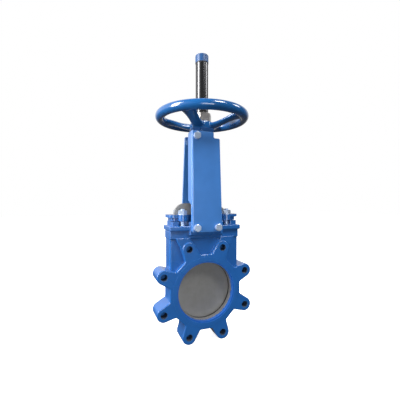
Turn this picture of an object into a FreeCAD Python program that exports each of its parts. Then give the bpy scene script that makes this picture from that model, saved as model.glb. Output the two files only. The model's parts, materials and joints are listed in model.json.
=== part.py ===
import FreeCAD, Part
import math
import os

from FreeCAD import Vector

# Knife gate valve DN150, lug type, rising stem with handwheel.
# Millimetres. The origin is the centre of the port on the front flange face.
# +X to the right, +Y through the pipe from front to rear, +Z up along the stem.

# ---- port, flange ring and lugs ----
port_radius = 75.0
face_to_face = 57.0
raised_face_radius = 89.0
raised_face_height = 0.5
ring_apothem = 96.0
lug_count = 8
bolt_circle_radius = 120.0
lug_tip_radius = 18.0
lug_root_radius = 60.0
lug_root_half_width = 26.0
lug_pad_setback = 2.5
cast_edge_radius = 2.5
front_hole_radius = 8.84
rear_hole_radius = 8.66
hole_depth = 24.0
hole_depth_behind_chest = 12.0
lug_fillet_radius = 5.0
casting_overlap = 8.0

# ---- gate and the slot that it runs in ----
gate_mid_y = 34.5
gate_thickness = 8.0
gate_half_width = 78.0
gate_top_z = 227.0
gate_left_corner_radius = 29.0
gate_right_slope_x = 44.0
gate_right_slope_z = 199.0
gate_notch_half_width = 19.0
gate_notch_bottom_z = 208.0
slot_half_width = 82.0
slot_side_gap = 0.6
guide_thickness = 3.6
guide_top_z = 148.0

# ---- seat ----
retainer_outer_radius = 79.0
retainer_front_y = 1.0
retainer_rear_y = 24.5
seat_inner_radius = 75.4
seat_outer_radius = 82.0
seat_gate_gap = 0.3
seat_lip_setback = 0.5

# ---- chest, top flange and stuffing box ----
# the web round each upper lug, left of the middle: X and Z of its corners from the band down and back up
lug_web_outline = [(-79.0, 140.0), (-79.0, 136.0), (-67.8, 115.6), (-55.0, 76.0),
                   (-14.0, 88.0), (-18.3, 96.0), (-40.6, 136.0), (-40.6, 140.0)]
lug_web_fillet = 2.0
chest_corner_radius = 5.0
band_overhang = 0.5
band_fillet = 3.0
chest_half_width = 94.5
chest_front_y = 11.5
chest_rear_y = 55.5
band_bottom_z = 136.0
band_front_y = 8.0
top_flange_half_width = 97.0
top_flange_front_y = 0.0
top_flange_bottom_z = 158.0
top_flange_top_z = 170.0
upstand_half_width = 89.5
upstand_half_depth = 16.5
upstand_tower_half_depth = 26.0
upstand_tower_inner_x = 70.0
upstand_top_z = 181.5
packing_bottom_z = 150.0
packing_row_height = 7.0
packing_rows = 4
packing_half_width = 85.3
packing_half_depth = 11.3
packing_corner_radius = 5.0
packing_gate_gap = 0.35

# ---- gland ----
follower_half_width = 97.0
follower_bottom_z = 182.5
follower_lip_bottom_z = 191.0
follower_neck_inset = 6.0
follower_top_z = 198.0
follower_bar_half_depth = 14.0
follower_end_half_depth = 25.0
follower_end_corner = 14.0
follower_gate_gap = 0.6
spigot_gap = 0.5
spigot_corner_radius = 4.5
stud_end_chamfer = 1.0
gland_nut_turns = (8.0, 37.0, 52.0, 21.0)
gland_stud_x = 61.0
gland_stud_offset_y = 23.0
gland_ear_radius = 11.0
stud_radius = 6.0
stud_clearance_radius = 6.75
stud_bottom_z = 159.0
stud_top_z = 213.0
gland_washer_radius = 11.5
gland_washer_height = 1.5
m12_across_flats = 19.0
m12_nut_height = 10.0

# ---- yoke: two upright sheets, the front one folded along its left edge ----
yoke_sheet = 6.0
yoke_face_offset_y = 41.5
yoke_foot_z = 154.2
yoke_top_z = 409.5
yoke_foot_corner = 4.0
front_left_x = -42.6
front_foot_right_x = 41.0
front_shoulder_right_x = 33.6
front_shoulder_z = 394.0
front_neck_right_x = 17.0
rear_foot_half_width = 46.0
rear_top_half_width = 36.0
fold_bottom_z = 221.0
fold_depth = 30.0
fold_lower_slope = 14.0
fold_upper_corner = 8.0
fold_bend_radius = 5.0
yoke_pad_half_width = 46.0
yoke_pad_bottom_z = 146.0
yoke_bolt_x = 28.8
yoke_bolt_z = 165.5
head_bolt_x = 29.4
head_bolt_z = 397.0
yoke_bolt_depth = 17.0
m10_radius = 5.0
m10_clearance_radius = 5.5
m10_across_flats = 17.0
m10_head_height = 6.4
lock_washer_height = 2.2
lock_washer_radius = 9.0
lock_washer_gap = 1.2

# ---- yoke head and bearings ----
head_radius = 31.0
head_bottom_z = 409.5
head_top_z = 419.5
head_tongue_half_width = 17.0
head_ear_inner_x = 18.0
head_ear_outer_x = 36.6
head_ear_depth = 14.0
head_ear_bottom_z = 386.0
weld_leg = 4.0
bush_inner_radius = 18.06
bush_outer_radius = 22.0
bush_flange_radius = 28.0
bush_flange_height = 2.0
thrust_washer_height = 1.9
thrust_washer_radius = 25.0
thrust_washer_gap = 0.3
nipple_angle = 140.0
nipple_radius = 3.0
nipple_thread_length = 6.0
nipple_collar_radius = 4.5
nipple_collar_length = 3.5
nipple_ball_radius = 3.3
nipple_ball_length = 4.5

# ---- stem nut, handwheel and stem protector ----
stem_nut_radius = 18.0
stem_nut_thread_radius = 15.0
stem_nut_bore_radius = 12.08
stem_nut_bottom_z = 391.0
stem_nut_shoulder_z = 407.3
stem_nut_top_z = 449.0
retaining_nut_height = 14.0
retaining_nut_across_flats = 41.0
key_width = 8.0
key_height = 7.0
key_seat_depth = 3.5
hub_radius = 31.0
hub_bottom_z = 421.8
hub_top_z = 441.0
hub_corner_radius = 2.5
key_bottom_gap = 0.2
rim_z = 455.0
rim_radius = 111.5
rim_section_radius = 12.5
spoke_count = 4
spoke_first_angle = -40.6
# each section of a spoke: distance from the axis, height, half width, half thickness
spoke_sections = [(23.0, 431.0, 18.0, 8.0), (43.0, 435.0, 15.0, 7.5), (80.0, 448.0, 17.0, 7.5),
                  (96.0, 452.5, 22.0, 8.0), (109.5, 454.0, 29.0, 8.0)]
locknut_across_flats = 46.0
locknut_top_z = 465.0
tube_outer_radius = 16.85
tube_wall = 3.2
tube_top_z = 616.0
cap_outer_radius = 17.6
cap_bottom_z = 601.0
cap_top_z = 622.0
cap_seal_height = 1.8
cap_seal_thickness = 0.5
cap_corner_radius = 3.5

# ---- stem and its union with the gate ----
stem_radius = 12.0
stem_top_z = 459.0
stem_end_chamfer = 2.0
tenon_radius = 9.0
tenon_bottom_z = 212.0
union_half_width = 28.0
union_half_depth = 13.0
union_bottom_z = 203.0
union_top_z = 234.0
union_pin_radius = 2.5
union_pin_z = 224.0
union_bolt_x = 23.5
union_bolt_z = 215.0
union_corner_radius = 3.0
union_bolt_stick_out = 2.0
m8_radius = 4.0
m8_across_flats = 13.0
m8_head_height = 5.3
m8_nut_height = 6.5

# the round face of a hexagon as a part of its width, and how far a cutting shape overshoots
hexagon_face_ratio = 0.95
cut_margin = 1.0

axis_x = Vector(1, 0, 0)
axis_y = Vector(0, 1, 0)
axis_z = Vector(0, 0, 1)


# ---- helpers ----

def box(x_range, y_range, z_range):
    size = [high - low for low, high in (x_range, y_range, z_range)]
    return Part.makeBox(*size, Vector(x_range[0], y_range[0], z_range[0]))


def centred_box(half_x, half_y, z_range):
    """A box about the stem axis."""
    return box((-half_x, half_x), (gate_mid_y - half_y, gate_mid_y + half_y), z_range)


def rod_y(radius, y_from, y_to, x=0.0, z=0.0):
    return Part.makeCylinder(radius, y_to - y_from, Vector(x, y_from, z), axis_y)


def rod_z(radius, z_from, z_to, x=0.0, y=gate_mid_y):
    return Part.makeCylinder(radius, z_to - z_from, Vector(x, y, z_from), axis_z)


def sleeve_z(inner, outer, z_from, z_to, x=0.0, y=gate_mid_y):
    return rod_z(outer, z_from, z_to, x, y).cut(rod_z(inner, z_from, z_to, x, y))


def prism_y(points_xz, y_from, y_to):
    """Extrude an X-Z outline along Y."""
    corners = [Vector(x, y_from, z) for x, z in points_xz]
    face = Part.Face(Part.makePolygon(corners + corners[:1]))
    return face.extrude(Vector(0, y_to - y_from, 0))


def prism_x(points_yz, half_x):
    """Extrude a Y-Z outline along X, the same distance to both sides."""
    corners = [Vector(-half_x, y, z) for y, z in points_yz]
    face = Part.Face(Part.makePolygon(corners + corners[:1]))
    return face.extrude(Vector(2 * half_x, 0, 0))


def hexagon(across_flats, height):
    """A hexagonal prism standing on the origin along +Z, with the corners of its top turned down."""
    corner = across_flats / math.sqrt(3)
    angles = [math.radians(60 * k) for k in range(6)]
    points = [Vector(corner * math.cos(a), corner * math.sin(a), 0) for a in angles]
    prism = Part.Face(Part.makePolygon(points + points[:1])).extrude(Vector(0, 0, height))
    top_radius = across_flats / 2 * hexagon_face_ratio
    turned = Part.makeCone(top_radius + height * math.sqrt(3), top_radius, height)
    return prism.common(turned)


def nut(across_flats, height, bore_radius):
    return hexagon(across_flats, height).cut(Part.makeCylinder(bore_radius, height))


def placed(shape, position, turn_axis=axis_z, turn=0.0):
    """A copy of the shape turned about the origin and then moved."""
    copy = shape.copy()
    copy.Placement = FreeCAD.Placement(position, FreeCAD.Rotation(turn_axis, turn))
    return copy


def joined(shapes):
    """Fuse the shapes into one solid without leftover seams."""
    return shapes[0].multiFuse(shapes[1:]).removeSplitter()


def group(shapes):
    """Identical fasteners share one node and stay separate solids."""
    return Part.makeCompound(shapes)


def rounded(shape, radius, wanted):
    """Round the edges that the test picks."""
    return shape.makeFillet(radius, [edge for edge in shape.Edges if wanted(edge)])


def runs_along(edge, direction):
    """True for a straight edge along the direction."""
    if not isinstance(edge.Curve, Part.Line):
        return False
    return abs(edge.Curve.Direction.dot(direction)) > 0.999


def mirrored_y(shape):
    """The same shape on the other side of the gate's mid-plane."""
    return shape.mirror(Vector(0, gate_mid_y, 0), axis_y)


def lug_angles():
    step = 360.0 / lug_count
    return [step * (k + 0.5) for k in range(lug_count)]


def lug_centre(angle):
    turn = math.radians(angle)
    return bolt_circle_radius * math.cos(turn), bolt_circle_radius * math.sin(turn)


# ---- body ----

def ring_with_lugs(y_from, y_to):
    """The octagonal flange ring with a tapered, round-ended lug at each corner."""
    corner = ring_apothem / math.cos(math.pi / lug_count)
    turns = [math.radians(a) for a in lug_angles()]
    shapes = [prism_y([(corner * math.cos(t), corner * math.sin(t)) for t in turns], y_from, y_to)]
    for angle in lug_angles():
        blank = [(lug_root_radius, -lug_root_half_width), (bolt_circle_radius, -lug_tip_radius),
                 (bolt_circle_radius, lug_tip_radius), (lug_root_radius, lug_root_half_width)]
        lug = prism_y(blank, y_from, y_to)
        lug = lug.fuse(rod_y(lug_tip_radius, y_from, y_to, bolt_circle_radius, 0.0))
        shapes.append(placed(lug, Vector(0, 0, 0), axis_y, -angle))
    ring = joined(shapes)
    depth = y_to - y_from

    def concave_corner(edge):
        point = edge.CenterOfMass
        reach = math.hypot(point.x, point.z)
        return runs_along(edge, axis_y) and edge.Length > depth - 0.1 and reach < corner + 2.0

    ring = rounded(ring, lug_fillet_radius, concave_corner)
    rim = [edge for edge in ring.Edges if abs(edge.CenterOfMass.y - y_from) < 0.01]
    rim += [edge for edge in ring.Edges if abs(edge.CenterOfMass.y - y_to) < 0.01]
    return ring.makeFillet(cast_edge_radius, rim)


def lug_pad(y_from, y_to):
    """The raised web from the ring up to the band, round each of the two upper lugs."""
    pad = prism_y(lug_web_outline, y_from, y_to)
    return rounded(pad, lug_web_fillet, lambda edge: abs(edge.CenterOfMass.y - y_from) < 0.01)


def upper_castings():
    """Chest, band, top flange, stuffing-box upstand and the yoke pads, front and rear."""
    depth_range = (chest_front_y, chest_rear_y)
    chest = box((-chest_half_width, chest_half_width), depth_range, (0.0, band_bottom_z + casting_overlap))
    chest = rounded(chest, chest_corner_radius, lambda edge: runs_along(edge, axis_z))
    band_half = chest_half_width + band_overhang
    band_rear = 2 * gate_mid_y - band_front_y
    band = box((-band_half, band_half), (band_front_y, band_rear), (band_bottom_z, top_flange_bottom_z))
    band = rounded(band, band_fillet, lambda edge: not runs_along(edge, axis_x)
                   or edge.CenterOfMass.z < band_bottom_z + 0.1)
    flange_rear = 2 * gate_mid_y - top_flange_front_y
    flange = box((-top_flange_half_width, top_flange_half_width), (top_flange_front_y, flange_rear),
                 (top_flange_bottom_z, top_flange_top_z))
    flange = rounded(flange, cast_edge_radius, lambda edge: True)
    upstand_range = (top_flange_top_z - casting_overlap / 2, upstand_top_z)
    upstand = centred_box(upstand_half_width, upstand_half_depth, upstand_range)
    tower_x = (upstand_tower_inner_x, upstand_half_width)
    tower_y = (gate_mid_y - upstand_tower_half_depth, gate_mid_y + upstand_tower_half_depth)
    right_tower = rounded(box(tower_x, tower_y, upstand_range), band_fillet,
                          lambda edge: runs_along(edge, axis_z))
    left_tower = right_tower.mirror(Vector(0, 0, 0), axis_x)
    return [chest, band, flange, upstand, right_tower, left_tower]


def yoke_pad():
    """The block on the front of the chest that the yoke's foot is bolted to."""
    face_y = gate_mid_y - yoke_face_offset_y + yoke_sheet
    inner_y = gate_mid_y - upstand_half_depth
    pad = box((-yoke_pad_half_width, yoke_pad_half_width), (face_y, inner_y), (yoke_pad_bottom_z, upstand_top_z))
    return rounded(pad, cast_edge_radius, lambda edge: edge.CenterOfMass.y < inner_y - 0.1)


def gate_slot():
    """The flat slot in the body: half round at the bottom, straight above."""
    half_depth = gate_thickness / 2 + slot_side_gap
    y_from, y_to = gate_mid_y - half_depth, gate_mid_y + half_depth
    lower = rod_y(slot_half_width, y_from, y_to)
    upper = box((-slot_half_width, slot_half_width), (y_from, y_to), (0.0, guide_top_z))
    throat_half_width = gate_half_width + packing_gate_gap
    throat = box((-throat_half_width, throat_half_width), (y_from, y_to),
                 (guide_top_z, packing_bottom_z + cut_margin))
    return [lower, upper, throat]


def packing_chamber():
    chamber = centred_box(packing_half_width, packing_half_depth, (packing_bottom_z, upstand_top_z + cut_margin))
    return rounded(chamber, packing_corner_radius, lambda edge: runs_along(edge, axis_z))


def below_the_chest(angle):
    """True for the two upper lugs, which lie in front of the gate's slot."""
    return 60.0 < angle < 120.0


def flange_holes():
    """Blind tapping holes in every lug, from the front and from the rear."""
    holes = []
    for angle in lug_angles():
        x, z = lug_centre(angle)
        rear_depth = hole_depth_behind_chest if below_the_chest(angle) else hole_depth
        holes.append(rod_y(front_hole_radius, 0.0, hole_depth, x, z))
        holes.append(rod_y(rear_hole_radius, face_to_face - rear_depth, face_to_face, x, z))
    return holes


def stud_places():
    return [(side_x * gland_stud_x, gate_mid_y + side_y * gland_stud_offset_y)
            for side_x in (-1, 1) for side_y in (-1, 1)]


def body():
    lug_faces = (raised_face_height, face_to_face - raised_face_height)
    inside_y = chest_front_y + casting_overlap
    pads = [lug_pad(raised_face_height + lug_pad_setback, inside_y)]
    pads.append(pads[0].mirror(Vector(0, 0, 0), axis_x))
    bosses = [rod_y(lug_tip_radius, raised_face_height, inside_y, *lug_centre(angle))
              for angle in lug_angles() if below_the_chest(angle)]
    bosses = [rounded(boss, cast_edge_radius, lambda edge: edge.CenterOfMass.y < raised_face_height + 0.1)
              for boss in bosses]
    raised_faces = [rod_y(raised_face_radius, 0.0, inside_y),
                    rod_y(raised_face_radius, face_to_face - chest_front_y, face_to_face)]
    front_pad = yoke_pad()
    solid = joined([ring_with_lugs(*lug_faces)] + upper_castings() + pads + bosses + raised_faces
                   + [front_pad, mirrored_y(front_pad)])
    hollows = gate_slot() + [packing_chamber()] + flange_holes()
    hollows.append(rod_y(port_radius, -cut_margin, face_to_face + cut_margin))
    hollows.append(rod_y(retainer_outer_radius, -cut_margin, retainer_rear_y))
    hollows.append(rod_y(seat_outer_radius, retainer_rear_y, gate_mid_y))
    hollows += [rod_z(stud_radius, stud_bottom_z, top_flange_top_z + cut_margin, x, y)
                for x, y in stud_places()]
    pad_y = gate_mid_y - yoke_face_offset_y + yoke_sheet
    for x in (-yoke_bolt_x, yoke_bolt_x):
        hole = rod_y(m10_radius, pad_y - cut_margin, pad_y + yoke_bolt_depth + cut_margin, x, yoke_bolt_z)
        hollows += [hole, mirrored_y(hole)]
    return solid.cut(hollows)


# ---- seat, guides and packing ----

def seat_retainer_ring():
    tube = rod_y(retainer_outer_radius, retainer_front_y, retainer_rear_y)
    return tube.cut(rod_y(port_radius, 0.0, retainer_rear_y + cut_margin))


def seat_ring():
    gate_face_y = gate_mid_y - gate_thickness / 2
    tube = rod_y(seat_outer_radius, retainer_rear_y, gate_face_y - slot_side_gap)
    tube = tube.cut(rod_y(seat_inner_radius, retainer_rear_y - cut_margin, gate_face_y))
    lip = rod_y(gate_half_width - seat_lip_setback, gate_face_y - slot_side_gap, gate_face_y - seat_gate_gap)
    lip = lip.cut(rod_y(seat_inner_radius, retainer_rear_y, gate_face_y))
    return joined([tube, lip])


def gate_guide(side):
    """A flat wear strip on one side wall of the slot."""
    half_depth = gate_thickness / 2 + slot_side_gap
    ends = sorted([side * slot_half_width, side * (slot_half_width - guide_thickness)])
    return box(ends, (gate_mid_y - half_depth, gate_mid_y + half_depth), (0.0, guide_top_z))


def packing_ring(row):
    """One square rope of packing round the gate."""
    z_from = packing_bottom_z + row * packing_row_height
    heights = (z_from, z_from + packing_row_height)
    outer = centred_box(packing_half_width, packing_half_depth, heights)
    outer = rounded(outer, packing_corner_radius, lambda edge: runs_along(edge, axis_z))
    inner = centred_box(gate_half_width + packing_gate_gap, gate_thickness / 2 + packing_gate_gap, heights)
    return outer.cut(inner)


# ---- gland ----

def gland_follower():
    """Four-eared pressure flange, necked under its ends, with the spigot that squeezes the packing."""
    heights = (follower_bottom_z, follower_top_z)
    bar = centred_box(gland_stud_x + gland_ear_radius, follower_bar_half_depth, heights)
    ends = []
    for inset, z_range in ((0.0, (follower_lip_bottom_z, follower_top_z)), (follower_neck_inset, heights)):
        outer_x = follower_half_width - inset
        half_depth = follower_end_half_depth - inset
        end = box((upstand_tower_inner_x, outer_x), (gate_mid_y - half_depth, gate_mid_y + half_depth), z_range)
        end = rounded(end, follower_end_corner - inset / 2, lambda edge: runs_along(edge, axis_z)
                      and edge.CenterOfMass.x > outer_x - 0.1)
        ends += [end, end.mirror(Vector(0, 0, 0), axis_x)]
    ears = [rod_z(gland_ear_radius, *heights, x, y) for x, y in stud_places()]
    flange = joined([bar] + ends + ears)
    spigot = centred_box(packing_half_width - spigot_gap, packing_half_depth - spigot_gap,
                         (packing_bottom_z + packing_rows * packing_row_height, follower_bottom_z + cut_margin))
    spigot = rounded(spigot, spigot_corner_radius, lambda edge: runs_along(edge, axis_z))
    window = centred_box(gate_half_width + follower_gate_gap, gate_thickness / 2 + follower_gate_gap,
                         (packing_bottom_z, stud_top_z))
    stud_holes = [rod_z(stud_clearance_radius, packing_bottom_z, stud_top_z, x, y) for x, y in stud_places()]
    return joined([flange, spigot]).cut([window] + stud_holes)


def gland_studs():
    studs = []
    for x, y in stud_places():
        stud = rod_z(stud_radius, stud_bottom_z, stud_top_z, x, y)
        ends = [edge for edge in stud.Edges if isinstance(edge.Curve, Part.Circle)]
        studs.append(stud.makeChamfer(stud_end_chamfer, ends))
    return group(studs)


def gland_washers():
    top_z = follower_top_z + gland_washer_height
    return group([sleeve_z(stud_clearance_radius, gland_washer_radius, follower_top_z, top_z, x, y)
                  for x, y in stud_places()])


def gland_nuts():
    base_z = follower_top_z + gland_washer_height
    return group([placed(nut(m12_across_flats, m12_nut_height, stud_radius), Vector(x, y, base_z), axis_z, turn)
                  for (x, y), turn in zip(stud_places(), gland_nut_turns)])


# ---- yoke ----

def yoke_plate_front():
    """One upright sheet, folded back along its left edge and notched at its upper right corner."""
    outer_y = gate_mid_y - yoke_face_offset_y
    outline = [(front_left_x, yoke_foot_z + yoke_foot_corner), (front_left_x + yoke_foot_corner, yoke_foot_z),
               (front_foot_right_x, yoke_foot_z), (front_shoulder_right_x, front_shoulder_z),
               (front_neck_right_x, front_shoulder_z), (front_neck_right_x, yoke_top_z),
               (front_left_x, yoke_top_z)]
    web = prism_y(outline, outer_y, outer_y + yoke_sheet)
    web = rounded(web, yoke_foot_corner, lambda edge: runs_along(edge, axis_y) and edge.CenterOfMass.x > 0.0)
    side = [(outer_y, fold_bottom_z), (outer_y + fold_depth, fold_bottom_z + fold_lower_slope),
            (outer_y + fold_depth, yoke_top_z - fold_upper_corner),
            (outer_y + fold_depth - fold_upper_corner, yoke_top_z), (outer_y, yoke_top_z)]
    corners = [Vector(front_left_x, y, z) for y, z in side]
    fold = Part.Face(Part.makePolygon(corners + corners[:1])).extrude(Vector(yoke_sheet, 0, 0))
    plate = rounded(joined([web, fold]), fold_bend_radius, lambda edge: runs_along(edge, axis_z)
                    and abs(edge.CenterOfMass.x - front_left_x) < 0.1 and abs(edge.CenterOfMass.y - outer_y) < 0.1)
    return plate.cut([rod_y(m10_clearance_radius, outer_y - cut_margin, outer_y + yoke_sheet + cut_margin, x, z)
                      for x, z in yoke_bolt_places()])


def yoke_plate_rear():
    """One flat upright sheet that narrows towards the head."""
    inner_y = gate_mid_y + yoke_face_offset_y - yoke_sheet
    outline = [(-rear_foot_half_width, yoke_foot_z), (rear_foot_half_width, yoke_foot_z),
               (rear_top_half_width, yoke_top_z), (-rear_top_half_width, yoke_top_z)]
    plate = prism_y(outline, inner_y, inner_y + yoke_sheet)
    plate = rounded(plate, yoke_foot_corner, lambda edge: runs_along(edge, axis_y))
    return plate.cut([rod_y(m10_clearance_radius, inner_y - cut_margin, inner_y + yoke_sheet + cut_margin, -x, z)
                      for x, z in yoke_bolt_places()])


def yoke_bolt_places():
    """X and Z of the front sheet's bolts: two in the foot and one into the head's ear."""
    return [(-yoke_bolt_x, yoke_bolt_z), (yoke_bolt_x, yoke_bolt_z), (-head_bolt_x, head_bolt_z)]


def yoke_bolt(x, z):
    """Hexagon-head bolt through the front sheet into the pad or ear behind it."""
    face_y = gate_mid_y - yoke_face_offset_y
    seat_y = face_y - lock_washer_height
    shank = rod_y(m10_radius, seat_y, face_y + yoke_sheet + yoke_bolt_depth, x, z)
    head = placed(hexagon(m10_across_flats, m10_head_height), Vector(x, seat_y, z), axis_x, 90.0)
    return joined([shank, head])


def yoke_bolts_front():
    return group([yoke_bolt(x, z) for x, z in yoke_bolt_places()])


def yoke_lock_washers_front():
    """Split spring washers under the bolt heads."""
    face_y = gate_mid_y - yoke_face_offset_y
    seat_y = face_y - lock_washer_height
    washers = []
    for x, z in yoke_bolt_places():
        washer = rod_y(lock_washer_radius, seat_y, face_y, x, z).cut(rod_y(m10_radius, seat_y, face_y, x, z))
        split = box((x - lock_washer_gap / 2, x + lock_washer_gap / 2), (seat_y, face_y),
                    (z, z + lock_washer_radius + cut_margin))
        washers.append(washer.cut(split))
    return group(washers)


def turned_to_rear(shape):
    """The same shape turned half round the stem axis."""
    copy = shape.copy()
    copy.rotate(Vector(0, gate_mid_y, 0), axis_z, 180.0)
    return copy


# ---- yoke head and bearings ----

def yoke_head():
    """The bearing plate across both sheets' top edges, with a round boss and two bolted ears."""
    heights = (head_bottom_z, head_top_z)
    tongue = centred_box(head_tongue_half_width, yoke_face_offset_y, heights)
    boss = rod_z(head_radius, *heights)
    ear_front_y = gate_mid_y - yoke_face_offset_y + yoke_sheet
    ear = box((-head_ear_outer_x, -head_ear_inner_x), (ear_front_y, ear_front_y + head_ear_depth),
              (head_ear_bottom_z, head_top_z))
    ear = ear.cut(rod_y(m10_radius, ear_front_y - cut_margin, ear_front_y + head_ear_depth + cut_margin,
                        -head_bolt_x, head_bolt_z))
    slab = joined([tongue, boss, ear, turned_to_rear(ear)])
    bore = rod_z(bush_outer_radius, head_bottom_z - cut_margin, head_top_z + cut_margin)
    middle_z = (head_bottom_z + head_top_z) / 2
    return slab.cut([bore, nipple_rod(nipple_radius, bush_outer_radius - cut_margin, head_radius, middle_z)])


def nipple_rod(radius, from_radius, to_radius, z):
    """A rod pointing out from the stem axis at the grease nipple's angle."""
    turn = math.radians(nipple_angle)
    outward = Vector(math.cos(turn), math.sin(turn), 0)
    start = Vector(0, gate_mid_y, z) + outward * from_radius
    return Part.makeCylinder(radius, to_radius - from_radius, start, outward)


def yoke_head_welds():
    """Fillet welds under the head, along the inner face of both sheets."""
    inner_y = gate_mid_y - yoke_face_offset_y + yoke_sheet
    under = prism_x([(inner_y, head_bottom_z), (inner_y + weld_leg, head_bottom_z),
                     (inner_y, head_bottom_z - weld_leg)], head_tongue_half_width - cut_margin)
    return group([under, mirrored_y(under)])


def grease_nipple():
    """Threaded end, hexagon collar and ball, screwed into the edge of the head."""
    middle_z = (head_bottom_z + head_top_z) / 2
    collar_end = head_radius + nipple_collar_length
    return joined([nipple_rod(nipple_radius, head_radius - nipple_thread_length, collar_end, middle_z),
                   nipple_rod(nipple_collar_radius, head_radius, collar_end, middle_z),
                   nipple_rod(nipple_ball_radius, collar_end, collar_end + nipple_ball_length, middle_z)])


def bearing_bush():
    sleeve = sleeve_z(bush_inner_radius, bush_outer_radius, head_bottom_z, head_top_z)
    flange = sleeve_z(bush_inner_radius, bush_flange_radius, head_top_z, head_top_z + bush_flange_height)
    return joined([sleeve, flange])


def thrust_washer():
    return sleeve_z(bush_inner_radius + thrust_washer_gap, thrust_washer_radius,
                    head_bottom_z - thrust_washer_height, head_bottom_z)


# ---- stem nut, handwheel and protector ----

def stem_nut():
    """The threaded bronze nut that the handwheel turns, with its journal and two threaded ends."""
    lower = rod_z(stem_nut_thread_radius, stem_nut_bottom_z, stem_nut_shoulder_z)
    journal = rod_z(stem_nut_radius, stem_nut_shoulder_z, hub_top_z)
    upper = rod_z(stem_nut_thread_radius, hub_top_z, stem_nut_top_z)
    bore = rod_z(stem_nut_bore_radius, stem_nut_bottom_z - cut_margin, stem_nut_top_z + cut_margin)
    return joined([lower, journal, upper]).cut([bore, key_block()])


def key_block():
    """The parallel key on the right of the stem nut."""
    bottom = stem_nut_radius - key_seat_depth
    return box((bottom, bottom + key_height), (gate_mid_y - key_width / 2, gate_mid_y + key_width / 2),
               (hub_bottom_z + key_bottom_gap, hub_top_z))


def retaining_nut():
    """The hexagon nut under the head that keeps the stem nut in its bush."""
    base = Vector(0, gate_mid_y, stem_nut_shoulder_z)
    blank = nut(retaining_nut_across_flats, retaining_nut_height, stem_nut_thread_radius)
    return placed(blank, base, axis_x, 180.0)


def spoke(angle):
    """A flattened arm that rises from the hub and widens into the rim."""
    wires = []
    for reach, height, half_width, half_thickness in spoke_sections:
        ellipse = Part.Ellipse(Vector(0, 0, 0), half_width, half_thickness).toShape()
        wire = Part.Wire([ellipse])
        wire.Placement = FreeCAD.Placement(Vector(reach, 0, height),
                                           FreeCAD.Rotation(Vector(0, 1, 0), Vector(0, 0, 1), Vector(1, 0, 0)))
        wires.append(wire)
    arm = Part.makeLoft(wires, True, False)
    return placed(arm, Vector(0, gate_mid_y, 0), axis_z, angle)


def handwheel():
    centre = Vector(0, gate_mid_y, rim_z)
    rim = Part.makeTorus(rim_radius, rim_section_radius, centre, axis_z)
    hub = rod_z(hub_radius, hub_bottom_z, hub_top_z)
    hub = rounded(hub, hub_corner_radius, lambda edge: isinstance(edge.Curve, Part.Circle))
    spokes = [spoke(spoke_first_angle + 360.0 / spoke_count * k) for k in range(spoke_count)]
    wheel = joined([rim, hub] + spokes)
    bore = rod_z(stem_nut_radius, hub_bottom_z - cut_margin, rim_z)
    return wheel.cut([bore, key_block()])


def wheel_locknut():
    height = locknut_top_z - hub_top_z
    blank = placed(nut(locknut_across_flats, height, stem_nut_thread_radius), Vector(0, gate_mid_y, hub_top_z))
    return blank.cut(rod_z(tube_outer_radius, stem_nut_top_z, locknut_top_z + cut_margin))


def protector_tube():
    return sleeve_z(tube_outer_radius - tube_wall, tube_outer_radius, stem_nut_top_z, tube_top_z)


def protector_cap():
    cap = rod_z(cap_outer_radius, cap_bottom_z, cap_top_z)
    cap = rounded(cap, cap_corner_radius, lambda edge: edge.CenterOfMass.z > cap_top_z - 0.1)
    return cap.cut(rod_z(tube_outer_radius, cap_bottom_z - cut_margin, tube_top_z))


def cap_seal():
    return sleeve_z(tube_outer_radius, tube_outer_radius + cap_seal_thickness, cap_bottom_z - cap_seal_height, cap_bottom_z)


# ---- stem, union and gate ----

def stem():
    shaft = rod_z(stem_radius, union_top_z, stem_top_z)
    top_edges = [edge for edge in shaft.Edges if edge.CenterOfMass.z > stem_top_z - 0.1]
    shaft = shaft.makeChamfer(stem_end_chamfer, top_edges)
    tenon = rod_z(tenon_radius, tenon_bottom_z, union_top_z)
    return joined([shaft, tenon]).cut(union_pin())


def union_pin():
    return rod_y(union_pin_radius, gate_mid_y - union_half_depth, gate_mid_y + union_half_depth, 0.0, union_pin_z)


def union_bolt_holes():
    y_from = gate_mid_y - union_half_depth - cut_margin
    y_to = gate_mid_y + union_half_depth + cut_margin
    return [rod_y(m8_radius, y_from, y_to, x, union_bolt_z) for x in (-union_bolt_x, union_bolt_x)]


def stem_union():
    """The forked block that straddles the gate's top edge and takes the stem's tenon."""
    block = centred_box(union_half_width, union_half_depth, (union_bottom_z, union_top_z))
    block = rounded(block, union_corner_radius, lambda edge: edge.CenterOfMass.z > union_top_z - 0.1
                    or runs_along(edge, axis_z))
    tenon = rod_z(tenon_radius, tenon_bottom_z, union_top_z + cut_margin)
    return block.cut([gate_blank(), tenon, union_pin()] + union_bolt_holes())


def union_bolts():
    head_y = gate_mid_y - union_half_depth
    end_y = gate_mid_y + union_half_depth + m8_nut_height + union_bolt_stick_out
    bolts = []
    for x in (-union_bolt_x, union_bolt_x):
        shank = rod_y(m8_radius, head_y, end_y, x, union_bolt_z)
        head = placed(hexagon(m8_across_flats, m8_head_height), Vector(x, head_y, union_bolt_z), axis_x, 90.0)
        bolts.append(joined([shank, head]))
    return group(bolts)


def union_nuts():
    face_y = gate_mid_y + union_half_depth
    return group([placed(nut(m8_across_flats, m8_nut_height, m8_radius), Vector(x, face_y, union_bolt_z),
                         axis_x, -90.0) for x in (-union_bolt_x, union_bolt_x)])


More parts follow.
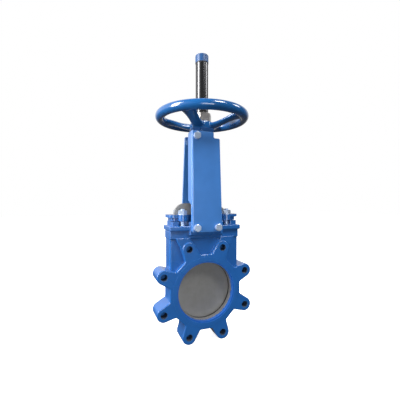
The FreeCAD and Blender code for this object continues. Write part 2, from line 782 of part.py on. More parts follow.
def gate_blank():
    """The flat blade: half round below, a large radius at the upper left, sloped at the upper right."""
    y_from, y_to = gate_mid_y - gate_thickness / 2, gate_mid_y + gate_thickness / 2
    outline = [(-gate_half_width, 0.0), (gate_half_width, 0.0), (gate_half_width, gate_right_slope_z),
               (gate_right_slope_x, gate_top_z), (-gate_half_width, gate_top_z)]
    sheet = rounded(prism_y(outline, y_from, y_to), gate_left_corner_radius, lambda edge: runs_along(edge, axis_y)
                    and edge.CenterOfMass.z > gate_top_z - 0.1 and edge.CenterOfMass.x < 0.0)
    blade = joined([sheet, rod_y(gate_half_width, y_from, y_to)])
    notch = box((-gate_notch_half_width, gate_notch_half_width), (y_from - cut_margin, y_to + cut_margin),
                (gate_notch_bottom_z, gate_top_z + cut_margin))
    return blade.cut(notch)


def gate():
    return gate_blank().cut(union_bolt_holes())


nodes = {
    "body": body(),
    "seat_retainer_ring": seat_retainer_ring(),
    "seat_ring": seat_ring(),
    "gate_guide_left": gate_guide(-1),
    "gate_guide_right": gate_guide(1),
    "gland_follower": gland_follower(),
    "gland_studs": gland_studs(),
    "gland_washers": gland_washers(),
    "gland_nuts": gland_nuts(),
    "yoke_plate_front": yoke_plate_front(),
    "yoke_plate_rear": yoke_plate_rear(),
    "yoke_bolts_front": yoke_bolts_front(),
    "yoke_bolts_rear": turned_to_rear(yoke_bolts_front()),
    "yoke_lock_washers_front": yoke_lock_washers_front(),
    "yoke_lock_washers_rear": turned_to_rear(yoke_lock_washers_front()),
    "yoke_head": yoke_head(),
    "yoke_head_welds": yoke_head_welds(),
    "grease_nipple": grease_nipple(),
    "bearing_bush": bearing_bush(),
    "thrust_washer": thrust_washer(),
    "stem_nut": stem_nut(),
    "retaining_nut": retaining_nut(),
    "drive_key": key_block(),
    "handwheel": handwheel(),
    "wheel_locknut": wheel_locknut(),
    "protector_tube": protector_tube(),
    "protector_cap": protector_cap(),
    "cap_seal": cap_seal(),
    "stem": stem(),
    "stem_union": stem_union(),
    "union_pin": union_pin(),
    "union_bolts": union_bolts(),
    "union_nuts": union_nuts(),
    "gate": gate(),
}
for row in range(packing_rows):
    nodes["packing_ring_%d" % (row + 1)] = packing_ring(row)

os.makedirs("parts", exist_ok=True)
for name, shape in nodes.items():
    shape.exportStep("parts/%s.step" % name)
    print("%-26s solids %d valid %s volume %.0f" % (name, len(shape.Solids), shape.isValid(), shape.Volume))
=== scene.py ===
import json
import math

import bmesh
import bpy
from mathutils import Matrix, Vector


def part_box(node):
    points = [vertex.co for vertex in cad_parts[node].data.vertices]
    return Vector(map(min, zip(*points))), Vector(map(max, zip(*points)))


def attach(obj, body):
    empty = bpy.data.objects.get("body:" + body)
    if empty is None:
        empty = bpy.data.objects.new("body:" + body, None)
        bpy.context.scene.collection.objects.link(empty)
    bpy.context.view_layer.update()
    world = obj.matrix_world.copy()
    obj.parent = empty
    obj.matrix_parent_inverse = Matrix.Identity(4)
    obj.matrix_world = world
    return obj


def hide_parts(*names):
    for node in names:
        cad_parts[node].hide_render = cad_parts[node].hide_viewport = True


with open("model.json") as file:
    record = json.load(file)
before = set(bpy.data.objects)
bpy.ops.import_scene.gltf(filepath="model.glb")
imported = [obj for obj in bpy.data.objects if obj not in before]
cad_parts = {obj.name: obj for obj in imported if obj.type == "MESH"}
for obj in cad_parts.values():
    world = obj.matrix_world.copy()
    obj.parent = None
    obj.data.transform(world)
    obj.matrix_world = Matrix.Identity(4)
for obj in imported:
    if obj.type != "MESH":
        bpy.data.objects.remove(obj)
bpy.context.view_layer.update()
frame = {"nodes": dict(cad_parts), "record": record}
nodes = frame["nodes"]
mounts = {mount["name"]: mount for mount in frame["record"]["mounts"]}

# Metres, in the CAD frame: the origin is the port's centre on the front flange face.
FRAME_BODY = "valve_frame"
GATE_BODY = "gate_and_stem"

floor_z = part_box("body")[0].z
stem_low, stem_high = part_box("stem")
stem_axis_y = (stem_low.y + stem_high.y) / 2

CAMERA_PLACE = Vector((-0.2656, -0.6640, 0.2359))
CAMERA_TURN = math.radians(20.43)
CAMERA_TILT = math.radians(-0.02)
CAMERA_LENS = 25.09

# Threads and hexagons that replace the plain CAD cylinders and prisms. A RATIO is a part of the pitch, of the
# width across flats or of the bore.
THREAD_STEPS = 32
THREAD_ROWS_PER_TURN = 8
HEX_STEPS = 48
HEX_FACE_RATIO = 0.475
NUT_SINK_RATIO = 0.1
THREAD_DEPTH_RATIO = 0.6
GROOVE_HALF_WIDTH_RATIO = 0.38
GROOVE_FLANK_RATIO = 0.22
HOLE_RIDGE_RATIO = 0.3
M12_RADIUS, M12_PITCH = 0.006, 0.00175
M10_RADIUS, M10_PITCH, M10_FLATS, M10_HEAD = 0.005, 0.0015, 0.017, 0.0064
M20_PITCH = 0.0025
LUG_HOLE_DEPTH, UPPER_REAR_HOLE_DEPTH = 0.024, 0.012
HOLE_THREAD_START = 0.0006
HOLE_THREAD_SHORTER = 0.001
HOLE_THREAD_BACKING = 0.0003
HOLE_THREAD_LIP = 0.0002
UPPER_LUG_MIN_SINE = 0.9
STEM_PITCH, STEM_DEPTH_RATIO = 0.005, 0.5
STEM_TENON_LENGTH = 0.022
STEM_TENON_RATIO = 0.75

# The rippled beads under the yoke's head: stations along a bead, stations to a ripple, steps round its arc.
BEAD_STATIONS = 96
BEAD_RIPPLE_STATIONS = 6
BEAD_ARC_STEPS = 8
BEAD_SIZE, BEAD_RIPPLE_SIZE = 0.78, 0.16
BEAD_END_STATIONS = 4
BEAD_END_SIZE, BEAD_END_GROWTH = 0.4, 0.2

# The port's wall is painted from the flange face to this depth.
PAINT_EDGE_Y = 0.012
PAINT_EDGE_SOFTNESS = 0.0006

# Closing the CAD meshes' seams, splitting or rounding their edges, and melting the handwheel into one skin.
SEAM_DISTANCE = 0.00001
SHARP_ANGLE = math.radians(28)
FLAT_ANGLE = math.radians(0.5)
WHEEL_VOXEL = 0.0016
WHEEL_SMOOTHING = 8

FLOOR_HALF_SIZE = 6.0


# ---- node helpers ----

def add_node(tree, kind, values=None, **settings):
    """A shader node with its settings, its plain inputs set by name and links made from sockets."""
    node = tree.nodes.new(kind)
    for key, value in settings.items():
        setattr(node, key, value)
    for key, value in (values or {}).items():
        if isinstance(value, bpy.types.NodeSocket):
            tree.links.new(value, node.inputs[key])
        else:
            node.inputs[key].default_value = value
    return node


def new_material(name):
    material = bpy.data.materials.new(name)
    material.use_nodes = True
    material.node_tree.nodes.clear()
    tree = material.node_tree
    shader = add_node(tree, "ShaderNodeBsdfPrincipled")
    output = add_node(tree, "ShaderNodeOutputMaterial", {"Surface": shader.outputs["BSDF"]})
    output.location = (600, 0)
    return material, tree, shader


def place_vector(tree, scale=(1.0, 1.0, 1.0)):
    """The point on the object in metres, stretched by scale."""
    place = add_node(tree, "ShaderNodeTexCoord")
    mapping = add_node(tree, "ShaderNodeMapping", {"Vector": place.outputs["Object"], "Scale": scale})
    return mapping.outputs["Vector"]


def noise_value(tree, vector, scale, detail=3.0, roughness=0.5):
    values = {"Vector": vector, "Scale": scale, "Detail": detail, "Roughness": roughness}
    return add_node(tree, "ShaderNodeTexNoise", values).outputs["Fac"]


def ramp(tree, factor, stops):
    """A colour ramp; each stop is a position and an RGB colour or a grey level."""
    node = add_node(tree, "ShaderNodeValToRGB", {"Fac": factor})
    elements = node.color_ramp.elements
    while len(elements) < len(stops):
        elements.new(0.5)
    for element, (position, colour) in zip(elements, stops):
        element.position = position
        element.color = (*colour, 1.0) if isinstance(colour, tuple) else (colour, colour, colour, 1.0)
    return node.outputs["Color"]


def map_range(tree, value, from_range, to_range):
    values = {"Value": value, "From Min": from_range[0], "From Max": from_range[1],
              "To Min": to_range[0], "To Max": to_range[1]}
    return add_node(tree, "ShaderNodeMapRange", values).outputs["Result"]


def mix_colour(tree, factor, first, second, blend="MIX"):
    node = add_node(tree, "ShaderNodeMix", data_type="RGBA", blend_type=blend)
    for key, value in (("Factor_Float", factor), ("A_Color", first), ("B_Color", second)):
        socket = next(s for s in node.inputs if s.identifier == key)
        if isinstance(value, bpy.types.NodeSocket):
            tree.links.new(value, socket)
        else:
            socket.default_value = (*value, 1.0) if isinstance(value, tuple) else value
    return next(s for s in node.outputs if s.identifier == "Result_Color")


def bump(tree, height, strength, distance, normal=None):
    values = {"Height": height, "Strength": strength, "Distance": distance}
    if normal:
        values["Normal"] = normal
    return add_node(tree, "ShaderNodeBump", values).outputs["Normal"]


def edge_mask(tree, radius):
    """A mask that is bright where the surface turns sharply."""
    bevel = add_node(tree, "ShaderNodeBevel", {"Radius": radius}, samples=6)
    geometry = add_node(tree, "ShaderNodeNewGeometry")
    dot = add_node(tree, "ShaderNodeVectorMath", {0: bevel.outputs["Normal"], 1: geometry.outputs["Normal"]},
                   operation="DOT_PRODUCT")
    return map_range(tree, dot.outputs["Value"], (0.97, 0.80), (0.0, 1.0))


# ---- meshes ----

def islands(node):
    """The lowest and highest corners of each separate solid in a CAD node, in a fixed order."""
    mesh = bmesh.new()
    mesh.from_mesh(nodes[node].data)
    bmesh.ops.remove_doubles(mesh, verts=mesh.verts, dist=SEAM_DISTANCE)
    unseen = set(mesh.verts)
    boxes = []
    for first in mesh.verts:
        if first not in unseen:
            continue
        unseen.discard(first)
        joined = [first]
        for vertex in joined:
            for other in (edge.other_vert(vertex) for edge in vertex.link_edges):
                if other in unseen:
                    unseen.discard(other)
                    joined.append(other)
        low = Vector([min(vertex.co[i] for vertex in joined) for i in range(3)])
        high = Vector([max(vertex.co[i] for vertex in joined) for i in range(3)])
        boxes.append((low, high))
    mesh.free()
    return sorted(boxes, key=lambda pair: tuple(round(value, 5) for value in pair[0]))


def aimed(place, axis):
    """The placement that puts local Z along axis, with the origin at place."""
    return Matrix.Translation(place) @ Vector(axis).to_track_quat("Z", "Y").to_matrix().to_4x4()


def skin(mesh, rings, placement, hollow=False):
    """Join rings of points into a closed skin: capped at both ends, or joined end to start if hollow."""
    rows = [[mesh.verts.new(placement @ Vector(point)) for point in ring] for ring in rings]
    pairs = list(zip(rows, rows[1:]))
    if hollow:
        pairs.append((rows[-1], rows[0]))
    for lower, upper in pairs:
        for i in range(len(lower)):
            after = (i + 1) % len(lower)
            mesh.faces.new((lower[i], lower[after], upper[after], upper[i]))
    if not hollow:
        mesh.faces.new(list(reversed(rows[0])))
        mesh.faces.new(rows[-1])


def round_ring(radius, height, steps=HEX_STEPS):
    turns = [2 * math.pi * i / steps for i in range(steps)]
    return [(radius * math.cos(turn), radius * math.sin(turn), height) for turn in turns]


def hexagon_rings(flats, height, bore=0.0):
    """A hexagon with 30 degree chamfers on both faces, and a countersunk bore if it is a nut."""
    face_radius = flats * HEX_FACE_RATIO
    lower, upper = [], []
    for i in range(HEX_STEPS):
        turn = 2 * math.pi * i / HEX_STEPS
        reach = flats / 2 / math.cos((turn + math.pi / 6) % (math.pi / 3) - math.pi / 6)
        cut = (reach - face_radius) * math.tan(math.pi / 6)
        x, y = reach * math.cos(turn), reach * math.sin(turn)
        lower.append((x, y, cut))
        upper.append((x, y, height - cut))
    rings = [round_ring(face_radius, 0.0), lower, upper, round_ring(face_radius, height)]
    if bore:
        sink = bore * NUT_SINK_RATIO
        rings = ([round_ring(bore, sink), round_ring(bore + sink, 0.0)] + rings
                 + [round_ring(bore + sink, height), round_ring(bore, height - sink)])
    return rings


def groove_depth(height, pitch, hand, step):
    """How deep the helical groove is at this height and step round the axis, from 0 to 1."""
    phase = (height / pitch - hand * step / THREAD_STEPS) % 1.0
    return min(1.0, max(0.0, (GROOVE_HALF_WIDTH_RATIO - abs(phase - 0.5)) / GROOVE_FLANK_RATIO))


def thread_rings(radius, pitch, length, hand=1.0, depth_ratio=THREAD_DEPTH_RATIO):
    """A rod with a helical groove along its whole length and chamfered ends."""
    depth = pitch * depth_ratio
    rows = math.ceil(length / pitch * THREAD_ROWS_PER_TURN)
    rings = []
    for row in range(rows + 1):
        height = length * row / rows
        end_limit = radius - depth + min(height, length - height)
        ring = []
        for i in range(THREAD_STEPS):
            reach = min(radius - depth * groove_depth(height, pitch, hand, i), end_limit)
            turn = 2 * math.pi * i / THREAD_STEPS
            ring.append((reach * math.cos(turn), reach * math.sin(turn), height))
        rings.append(ring)
    return rings


def hole_thread_rings(radius, pitch, length):
    """A thread standing inside a hole: its ridges face the axis, its back lies just inside the metal."""
    ridge = pitch * HOLE_RIDGE_RATIO
    rows = math.ceil(length / pitch * THREAD_ROWS_PER_TURN)
    rings = []
    for row in range(rows + 1):
        height = length * row / rows
        ring = []
        for i in range(THREAD_STEPS):
            crest = min(ridge * (1.0 - groove_depth(height, pitch, 1.0, i)), height)
            turn = 2 * math.pi * i / THREAD_STEPS
            ring.append(((radius - crest) * math.cos(turn), (radius - crest) * math.sin(turn), height))
        rings.append(ring)
    back = radius + HOLE_THREAD_BACKING
    return rings + [round_ring(back, length, THREAD_STEPS), round_ring(back, HOLE_THREAD_LIP, THREAD_STEPS)]


def make_piece(name, mesh, material, body, replaced=None):
    """A visible piece that rides on a body and may stand for a CAD node."""
    bmesh.ops.recalc_face_normals(mesh, faces=mesh.faces)
    data = bpy.data.meshes.new(name)
    mesh.to_mesh(data)
    mesh.free()
    data.materials.append(MATERIALS[material])
    data.shade_smooth()
    piece = bpy.data.objects.new(name, data)
    bpy.context.scene.collection.objects.link(piece)
    split = piece.modifiers.new("sharp_edges", "EDGE_SPLIT")
    split.split_angle = SHARP_ANGLE
    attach(piece, body)
    if replaced:
        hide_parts(replaced)


# ---- materials ----

def enamel(name, colour, edge_colour, grain_scale, grain_depth, edge_radius, roughness):
    """Glossy paint over metal: the grain shows through and the paint is thin on the edges.

    Only a broad noise drives the roughness, because a fine one shows as dark specks.
    """
    material, tree, shader = new_material(name)
    place = place_vector(tree)
    edges = edge_mask(tree, edge_radius)
    shade = ramp(tree, noise_value(tree, place, 22.0, 4.0), [(0.3, 0.92), (0.7, 1.06)])
    paint = mix_colour(tree, 1.0, colour, shade, "MULTIPLY")
    wear = noise_value(tree, place, 160.0, 5.0, 0.65)
    wear_amount = map_range(tree, wear, (0.35, 0.65), (0.0, 0.4))
    worn_edges = add_node(tree, "ShaderNodeMath", {0: edges, 1: wear_amount}, operation="MULTIPLY")
    paint = mix_colour(tree, worn_edges.outputs["Value"], paint, edge_colour)
    grain = noise_value(tree, place, grain_scale, 4.0, 0.6)
    orange_peel = noise_value(tree, place, 150.0, 1.0)
    normal = bump(tree, grain, 0.4, grain_depth)
    normal = bump(tree, orange_peel, 0.15, 0.00006, normal)
    tree.links.new(paint, shader.inputs["Base Color"])
    broad = noise_value(tree, place, 9.0, 2.0)
    tree.links.new(map_range(tree, broad, (0.3, 0.7), (roughness - 0.02, roughness + 0.04)),
                   shader.inputs["Roughness"])
    tree.links.new(normal, shader.inputs["Normal"])
    shader.inputs["IOR"].default_value = 1.5
    shader.inputs["Coat Weight"].default_value = 0.5
    shader.inputs["Coat Roughness"].default_value = 0.08
    return material


def worked_metal(name, colour, dark, stretch, metallic, roughness, line_depth, edge_radius=None,
                 variation=1.0):
    """Bare or plated metal with fine tool lines; stretch sets which way they run.

    Variation sets how uneven the gloss is.
    """
    material, tree, shader = new_material(name)
    lines = noise_value(tree, place_vector(tree, stretch), 1.0, 3.0, 0.6)
    blotch = noise_value(tree, place_vector(tree), 60.0, 4.0, 0.6)
    tint = mix_colour(tree, map_range(tree, blotch, (0.35, 0.75), (0.0, 0.55)), colour, dark)
    if edge_radius:
        worn = map_range(tree, edge_mask(tree, edge_radius), (0.0, 1.0), (0.0, 0.4))
        tint = mix_colour(tree, worn, tint, (0.85, 0.87, 0.9))
    line_range = (-0.06 * variation, 0.08 * variation)
    blotch_range = (roughness, roughness + 0.07 * variation)
    rough = add_node(tree, "ShaderNodeMath", {0: map_range(tree, lines, (0.3, 0.7), line_range),
                                              1: map_range(tree, blotch, (0.3, 0.7), blotch_range)},
                     operation="ADD")
    tree.links.new(tint, shader.inputs["Base Color"])
    tree.links.new(rough.outputs["Value"], shader.inputs["Roughness"])
    tree.links.new(bump(tree, lines, 0.4, line_depth), shader.inputs["Normal"])
    shader.inputs["Metallic"].default_value = metallic
    return material


def painted_mouth(name, paint, metal):
    """The port's wall: painted near the flange face up to a ragged edge, bare turned metal behind."""
    material, tree, shader = new_material(name)
    place = place_vector(tree)
    depth = add_node(tree, "ShaderNodeSeparateXYZ", {"Vector": place}).outputs["Y"]
    ragged = map_range(tree, noise_value(tree, place, 55.0, 5.0, 0.7), (0.3, 0.7), (-0.004, 0.004))
    edge = add_node(tree, "ShaderNodeMath", {0: depth, 1: ragged}, operation="ADD").outputs["Value"]
    edge_range = (PAINT_EDGE_Y - PAINT_EDGE_SOFTNESS, PAINT_EDGE_Y + PAINT_EDGE_SOFTNESS)
    bare = map_range(tree, edge, edge_range, (0.0, 1.0))
    lines = noise_value(tree, place_vector(tree, (60.0, 1800.0, 60.0)), 1.0, 3.0, 0.6)
    steel = ramp(tree, lines, [(0.3, tuple(part * 0.85 for part in metal)), (0.7, metal)])
    tree.links.new(mix_colour(tree, bare, paint, steel), shader.inputs["Base Color"])
    tree.links.new(map_range(tree, bare, (0.0, 1.0), (0.0, 0.9)), shader.inputs["Metallic"])
    tree.links.new(map_range(tree, lines, (0.3, 0.7), (0.26, 0.38)), shader.inputs["Roughness"])
    tree.links.new(bump(tree, lines, 0.3, 0.00006), shader.inputs["Normal"])
    return material


def moulded(name, colour, light, roughness, speckle_scale, depth):
    """Moulded plastic or rubber with a fine skin texture."""
    material, tree, shader = new_material(name)
    place = place_vector(tree)
    skin = noise_value(tree, place, speckle_scale, 3.0, 0.6)
    cloud = noise_value(tree, place, 40.0, 3.0)
    tint = mix_colour(tree, map_range(tree, cloud, (0.3, 0.7), (0.0, 0.35)), colour, light)
    tree.links.new(tint, shader.inputs["Base Color"])
    tree.links.new(map_range(tree, skin, (0.3, 0.7), (roughness - 0.05, roughness + 0.08)),
                   shader.inputs["Roughness"])
    tree.links.new(bump(tree, skin, 0.3, depth), shader.inputs["Normal"])
    return material


def braid(name, colour, dark):
    """Square plaited packing: two crossing sets of strands."""
    material, tree, shader = new_material(name)
    strands = []
    for direction in (1.0, -1.0):
        vector = place_vector(tree, (420.0, 420.0, 420.0 * direction))
        values = {"Vector": vector, "Scale": 1.0, "Distortion": 0.4}
        strands.append(add_node(tree, "ShaderNodeTexWave", values, bands_direction="DIAGONAL").outputs["Fac"])
    crossing = add_node(tree, "ShaderNodeMath", {0: strands[0], 1: strands[1]}, operation="MAXIMUM")
    weave = crossing.outputs["Value"]
    tree.links.new(mix_colour(tree, weave, dark, colour), shader.inputs["Base Color"])
    tree.links.new(bump(tree, weave, 0.8, 0.0008), shader.inputs["Normal"])
    shader.inputs["Roughness"].default_value = 0.75
    return material


def floor_material():
    """White paper whose own glow hides its edge and leaves only a soft shadow near the object."""
    material, tree, shader = new_material("floor_paper")
    place = place_vector(tree)
    tone = ramp(tree, noise_value(tree, place, 3.0), [(0.3, 0.93), (0.7, 0.96)])
    distance = add_node(tree, "ShaderNodeVectorMath", {0: place}, operation="LENGTH").outputs["Value"]
    tree.links.new(map_range(tree, distance, (0.08, 0.40), (0.80, 1.0)), shader.inputs["Emission Strength"])
    shader.inputs["Emission Color"].default_value = (1.0, 1.0, 1.0, 1.0)
    tree.links.new(tone, shader.inputs["Base Color"])
    shader.inputs["Roughness"].default_value = 0.9
    shader.inputs["Specular IOR Level"].default_value = 0.1
    return material


MATERIALS = {
    "cast_enamel": enamel(
        "cast_enamel", (0.013, 0.108, 0.37), (0.10, 0.27, 0.58),
        grain_scale=200.0, grain_depth=0.00022, edge_radius=0.0022, roughness=0.28),
    "sheet_enamel": enamel(
        "sheet_enamel", (0.044, 0.178, 0.50), (0.14, 0.34, 0.68),
        grain_scale=90.0, grain_depth=0.00006, edge_radius=0.0016, roughness=0.30),
    "wheel_enamel": enamel(
        "wheel_enamel", (0.011, 0.092, 0.28), (0.09, 0.24, 0.50),
        grain_scale=200.0, grain_depth=0.00020, edge_radius=0.0020, roughness=0.16),
    # A darker copy of the paint for the yoke's head: painted shade for the shadow that the handwheel above it
    # casts.
    "head_enamel_painted_shade": enamel(
        "head_enamel_painted_shade", (0.009, 0.050, 0.165), (0.08, 0.20, 0.42),
        grain_scale=200.0, grain_depth=0.00022, edge_radius=0.0016, roughness=0.2),
    # Dark navy steel, darker than the body's paint: painted shade inside the lug holes, where bare threads
    # would be lighter.
    "painted_shade_hole_steel": worked_metal(
        "painted_shade_hole_steel", (0.016, 0.040, 0.095), (0.010, 0.024, 0.06),
        stretch=(200.0, 200.0, 200.0), metallic=0.1, roughness=0.5, line_depth=0.00004),
    "zinc": worked_metal(
        "zinc", (0.54, 0.66, 0.86), (0.40, 0.50, 0.66),
        stretch=(900.0, 900.0, 900.0), metallic=0.7, roughness=0.32, line_depth=0.00004, edge_radius=0.0004),
    "gate_steel": worked_metal(
        "gate_steel", (0.245, 0.245, 0.24), (0.205, 0.20, 0.19),
        stretch=(900.0, 900.0, 26.0), metallic=0.35, roughness=0.5, line_depth=0.00003, edge_radius=0.0006),
    "turned_steel": worked_metal(
        "turned_steel", (0.32, 0.305, 0.29), (0.22, 0.21, 0.20),
        stretch=(40.0, 40.0, 2600.0), metallic=1.0, roughness=0.28, line_depth=0.00006),
    "bore_steel": painted_mouth(
        "bore_steel", (0.014, 0.105, 0.42), (0.62, 0.62, 0.63)),
    "tube_steel": worked_metal(
        "tube_steel", (0.070, 0.070, 0.073), (0.062, 0.062, 0.065),
        stretch=(300.0, 300.0, 6.0), metallic=0.85, roughness=0.22, line_depth=0.000001, variation=0.1),
    "bronze": worked_metal(
        "bronze", (0.56, 0.38, 0.17), (0.38, 0.24, 0.11),
        stretch=(40.0, 40.0, 2200.0), metallic=1.0, roughness=0.33, line_depth=0.00006),
    "rubber": moulded(
        "rubber", (0.012, 0.012, 0.013), (0.03, 0.03, 0.032),
        roughness=0.62, speckle_scale=900.0, depth=0.00010),
    "ptfe": moulded(
        "ptfe", (0.72, 0.71, 0.68), (0.80, 0.79, 0.76),
        roughness=0.45, speckle_scale=700.0, depth=0.00006),
    "cap_plastic": moulded(
        "cap_plastic", (0.010, 0.064, 0.195), (0.013, 0.074, 0.21),
        roughness=0.42, speckle_scale=120.0, depth=0.00001),
    "packing": braid(
        "packing", (0.62, 0.57, 0.46), (0.20, 0.18, 0.14)),
}

NODE_MATERIALS = {
    "cast_enamel": ["body", "gland_follower"],
    "sheet_enamel": ["yoke_plate_front", "yoke_plate_rear", "yoke_head_welds"],
    # The yoke's head takes the darker copy of the enamel, which is painted shade.
    "head_enamel_painted_shade": ["yoke_head"],
    "wheel_enamel": ["handwheel"],
    "zinc": ["gland_studs", "gland_washers", "gland_nuts", "yoke_bolts_front", "yoke_bolts_rear",
             "yoke_lock_washers_front", "yoke_lock_washers_rear", "grease_nipple", "retaining_nut",
             "union_bolts", "union_nuts"],
    "gate_steel": ["gate"],
    "bore_steel": ["seat_retainer_ring"],
    "turned_steel": ["stem", "stem_union", "union_pin", "wheel_locknut", "drive_key"],
    "tube_steel": ["protector_tube"],
    "bronze": ["stem_nut", "bearing_bush", "thrust_washer"],
    "rubber": ["seat_ring", "cap_seal"],
    "ptfe": ["gate_guide_left", "gate_guide_right"],
    "cap_plastic": ["protector_cap"],
    "packing": ["packing_ring_1", "packing_ring_2", "packing_ring_3", "packing_ring_4"],
}

# How far each CAD node's sharp edges are rounded, in metres.
EDGE_ROUNDING = {
    "body": 0.0012, "gland_follower": 0.0015, "yoke_plate_front": 0.0009, "yoke_plate_rear": 0.0009,
    "yoke_head": 0.0008, "gate": 0.0005, "stem_union": 0.0008, "wheel_locknut": 0.0008, "union_bolts": 0.0004,
    "union_nuts": 0.0004, "protector_cap": 0.0010, "gland_washers": 0.0003, "retaining_nut": 0.0006,
}


def dress_cad_nodes():
    """Give each CAD node its material, close its seams and round its edges."""
    for material_name, members in NODE_MATERIALS.items():
        for name in members:
            piece = nodes[name]
            piece.data.materials.clear()
            piece.data.materials.append(MATERIALS[material_name])
            piece.data.shade_smooth()
            weld = piece.modifiers.new("close_seams", "WELD")
            weld.merge_threshold = SEAM_DISTANCE
            if name in EDGE_ROUNDING:
                flat = piece.modifiers.new("merge_flat_faces", "DECIMATE")
                flat.decimate_type = "DISSOLVE"
                flat.angle_limit = FLAT_ANGLE
                bevel = piece.modifiers.new("rounded_edges", "BEVEL")
                bevel.width = EDGE_ROUNDING[name]
                bevel.segments = 2
                bevel.limit_method = "ANGLE"
                bevel.angle_limit = SHARP_ANGLE
                piece.modifiers.new("even_shading", "WEIGHTED_NORMAL")
            else:
                split = piece.modifiers.new("sharp_edges", "EDGE_SPLIT")
                split.split_angle = SHARP_ANGLE


def cast_handwheel():
    """Melt the spokes into the rim and hub, as one casting with fillets."""
    wheel = nodes["handwheel"]
    wheel.modifiers.clear()
    remesh = wheel.modifiers.new("one_skin", "REMESH")
    remesh.mode = "VOXEL"
    remesh.voxel_size = WHEEL_VOXEL
    remesh.use_smooth_shade = True
    smooth = wheel.modifiers.new("fillets", "SMOOTH")
    smooth.iterations = WHEEL_SMOOTHING


# ---- threads and hexagons ----

def make_gland_fasteners():
    studs = bmesh.new()
    for low, high in islands("gland_studs"):
        middle = (low + high) / 2
        foot = Vector((middle.x, middle.y, low.z))
        skin(studs, thread_rings(M12_RADIUS, M12_PITCH, high.z - low.z), aimed(foot, (0, 0, 1)))
    make_piece("gland_stud_threads", studs, "zinc", FRAME_BODY, "gland_studs")
    nuts = bmesh.new()
    for low, high in islands("gland_nuts"):
        middle = (low + high) / 2
        flats = min(high.x - low.x, high.y - low.y)
        foot = Vector((middle.x, middle.y, low.z))
        skin(nuts, hexagon_rings(flats, high.z - low.z, M12_RADIUS), aimed(foot, (0, 0, 1)), hollow=True)
    make_piece("gland_hexagon_nuts", nuts, "zinc", FRAME_BODY, "gland_nuts")


def make_yoke_bolts(side, outward):
    """Chamfered heads on threaded shanks; outward is the way the heads face along Y."""
    node = "yoke_bolts_" + side
    bolts = bmesh.new()
    for low, high in islands(node):
        middle = (low + high) / 2
        outer_y = low.y if outward < 0 else high.y
        seat = Vector((middle.x, outer_y - outward * M10_HEAD, middle.z))
        skin(bolts, hexagon_rings(M10_FLATS, M10_HEAD), aimed(seat, (0, outward, 0)))
        length = high.y - low.y - M10_HEAD
        skin(bolts, thread_rings(M10_RADIUS, M10_PITCH, length), aimed(seat, (0, -outward, 0)))
    make_piece("yoke_hexagon_bolts_" + side, bolts, "zinc", FRAME_BODY, node)


def make_stem():
    """Left-hand trapezoidal thread over the whole stem, above the plain end pinned in the union."""
    radius = (stem_high.x - stem_low.x) / 2
    foot = Vector((0.0, stem_axis_y, stem_low.z))
    thread_foot = foot + Vector((0.0, 0.0, STEM_TENON_LENGTH))
    stem = bmesh.new()
    tenon_radius = radius * STEM_TENON_RATIO
    tenon = [round_ring(tenon_radius, 0.0), round_ring(tenon_radius, STEM_TENON_LENGTH)]
    skin(stem, tenon, aimed(foot, (0, 0, 1)))
    rings = thread_rings(radius, STEM_PITCH, stem_high.z - thread_foot.z, -1.0, STEM_DEPTH_RATIO)
    skin(stem, rings, aimed(thread_foot, (0, 0, 1)))
    make_piece("stem_thread", stem, "turned_steel", GATE_BODY, "stem")


def make_lug_threads():
    """M20 threads in the tapped lug holes, front and rear, in a dark navy steel that is painted shade for the
    holes' depth.
    """
    threads = bmesh.new()
    for name in ("flange_bolts_front", "flange_bolts_rear"):
        mount = mounts[name]
        place, outward = Vector(mount["pos_m"]), Vector(mount["axis"])
        circle_radius = mount["dims"]["pcd_mm"] / 2000
        hole_radius = mount["dims"]["hole_r_mm"] / 1000
        count = mount["dims"]["count"]
        for k in range(count):
            turn = 2 * math.pi * (k + 0.5) / count
            towards_lug = Vector((math.cos(turn), 0.0, math.sin(turn)))
            mouth = place + towards_lug * circle_radius - outward * HOLE_THREAD_START
            behind_chest = outward.y > 0 and math.sin(turn) > UPPER_LUG_MIN_SINE
            depth = (UPPER_REAR_HOLE_DEPTH if behind_chest else LUG_HOLE_DEPTH) - HOLE_THREAD_SHORTER
            rings = hole_thread_rings(hole_radius, M20_PITCH, depth)
            skin(threads, rings, aimed(mouth, -outward), hollow=True)
    make_piece("lug_hole_threads", threads, "painted_shade_hole_steel", FRAME_BODY)


def make_weld_beads():
    """Rippled fillet beads in the corners between the head and the two sheets."""
    beads = bmesh.new()
    for low, high in islands("yoke_head_welds"):
        front = low.y < stem_axis_y
        corner_y = low.y if front else high.y
        inward = 1.0 if front else -1.0
        leg = high.z - low.z
        length = high.x - low.x
        rings = []
        for station in range(BEAD_STATIONS + 1):
            x = low.x + length * station / BEAD_STATIONS
            ripple = abs(math.sin(math.pi * station / BEAD_RIPPLE_STATIONS))
            end = min(station, BEAD_STATIONS - station) / BEAD_END_STATIONS
            taper = min(1.0, BEAD_END_SIZE + BEAD_END_GROWTH * end)
            size = leg * (BEAD_SIZE + BEAD_RIPPLE_SIZE * ripple) * taper
            arc = [math.pi / 2 * k / BEAD_ARC_STEPS for k in range(BEAD_ARC_STEPS + 1)]
            ring = [(x, corner_y + inward * size * math.cos(t), high.z - size * math.sin(t)) for t in arc]
            rings.append(ring + [(x, corner_y, high.z)])
        skin(beads, rings, Matrix.Identity(4))
    make_piece("head_weld_beads", beads, "sheet_enamel", FRAME_BODY, "yoke_head_welds")


# ---- camera, lights and floor ----

def make_camera():
    data = bpy.data.cameras.new("camera")
    data.lens = CAMERA_LENS
    data.clip_start = 0.01
    camera = bpy.data.objects.new("camera", data)
    bpy.context.scene.collection.objects.link(camera)
    camera.location = CAMERA_PLACE
    level = math.cos(CAMERA_TILT)
    forward = Vector((math.sin(CAMERA_TURN) * level, math.cos(CAMERA_TURN) * level, math.sin(CAMERA_TILT)))
    camera.rotation_mode = "QUATERNION"
    camera.rotation_quaternion = forward.to_track_quat("-Z", "Y")
    bpy.context.scene.camera = camera


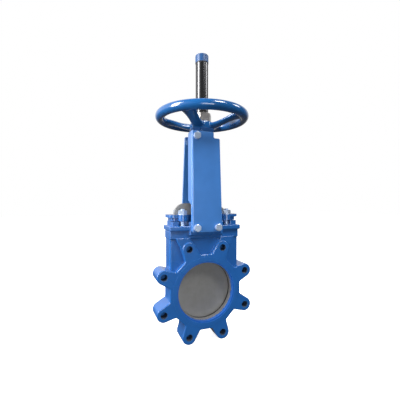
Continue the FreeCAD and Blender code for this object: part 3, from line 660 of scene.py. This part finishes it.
def soft_light(name, place, target, width, height, power):
    data = bpy.data.lights.new(name, "AREA")
    data.shape = "RECTANGLE"
    data.size = width
    data.size_y = height
    data.energy = power
    light = bpy.data.objects.new(name, data)
    bpy.context.scene.collection.objects.link(light)
    light.location = place
    light.rotation_mode = "QUATERNION"
    light.rotation_quaternion = (Vector(target) - Vector(place)).to_track_quat("-Z", "Y")
    light.visible_camera = False


def make_world():
    """A white studio: plain white behind the object, dim low down, brighter from the left."""
    world = bpy.data.worlds.new("studio")
    bpy.context.scene.world = world
    world.use_nodes = True
    tree = world.node_tree
    tree.nodes.clear()
    direction = add_node(tree, "ShaderNodeTexCoord").outputs["Generated"]
    parts = add_node(tree, "ShaderNodeSeparateXYZ", {"Vector": direction})
    height = map_range(tree, parts.outputs["Z"], (-0.2, 0.2), (0.05, 1.0))
    side = map_range(tree, parts.outputs["X"], (-0.97, -0.55), (1.3, 0.0))
    back = map_range(tree, parts.outputs["Y"], (0.1, 0.6), (0.0, 1.1))
    glow = add_node(tree, "ShaderNodeMath", {0: side, 1: back}, operation="ADD").outputs["Value"]
    level = add_node(tree, "ShaderNodeMath", {0: height, 1: glow}, operation="MULTIPLY_ADD")
    level.inputs[2].default_value = 0.06
    background = add_node(tree, "ShaderNodeBackground", {"Strength": level.outputs["Value"]})
    white = add_node(tree, "ShaderNodeBackground", {"Strength": 1.0})
    white.inputs["Color"].default_value = (1.0, 1.0, 1.0, 1.0)
    seen = add_node(tree, "ShaderNodeLightPath").outputs["Is Camera Ray"]
    both = add_node(tree, "ShaderNodeMixShader",
                    {0: seen, 1: background.outputs["Background"], 2: white.outputs["Background"]})
    add_node(tree, "ShaderNodeOutputWorld", {"Surface": both.outputs["Shader"]})


def make_lights():
    middle = (0.0, stem_axis_y, 0.2)
    soft_light("key_left", (-1.6, -0.15, 0.9), middle, 0.6, 1.6, 66.0)
    soft_light("front_top", (0.7, -1.3, 1.9), middle, 0.7, 0.7, 33.0)
    soft_light("low_fill", (-0.2, -1.6, 0.2), middle, 0.8, 0.6, 9.5)
    soft_light("right_top", (1.5, -0.5, 1.3), middle, 0.5, 0.5, 9.0)


def make_floor():
    mesh = bpy.data.meshes.new("floor")
    half = FLOOR_HALF_SIZE
    corners = [(-half, -half, floor_z), (half, -half, floor_z), (half, half, floor_z), (-half, half, floor_z)]
    mesh.from_pydata(corners, [], [(0, 1, 2, 3)])
    floor = bpy.data.objects.new("floor", mesh)
    bpy.context.scene.collection.objects.link(floor)
    mesh.materials.append(floor_material())
    floor.visible_diffuse = False
    floor.visible_glossy = False


make_camera()
make_world()
make_lights()
make_floor()
dress_cad_nodes()
cast_handwheel()
make_gland_fasteners()
make_yoke_bolts("front", -1.0)
make_yoke_bolts("rear", 1.0)
make_stem()
make_lug_threads()
make_weld_beads()
bpy.context.scene.view_settings.view_transform = "Standard"
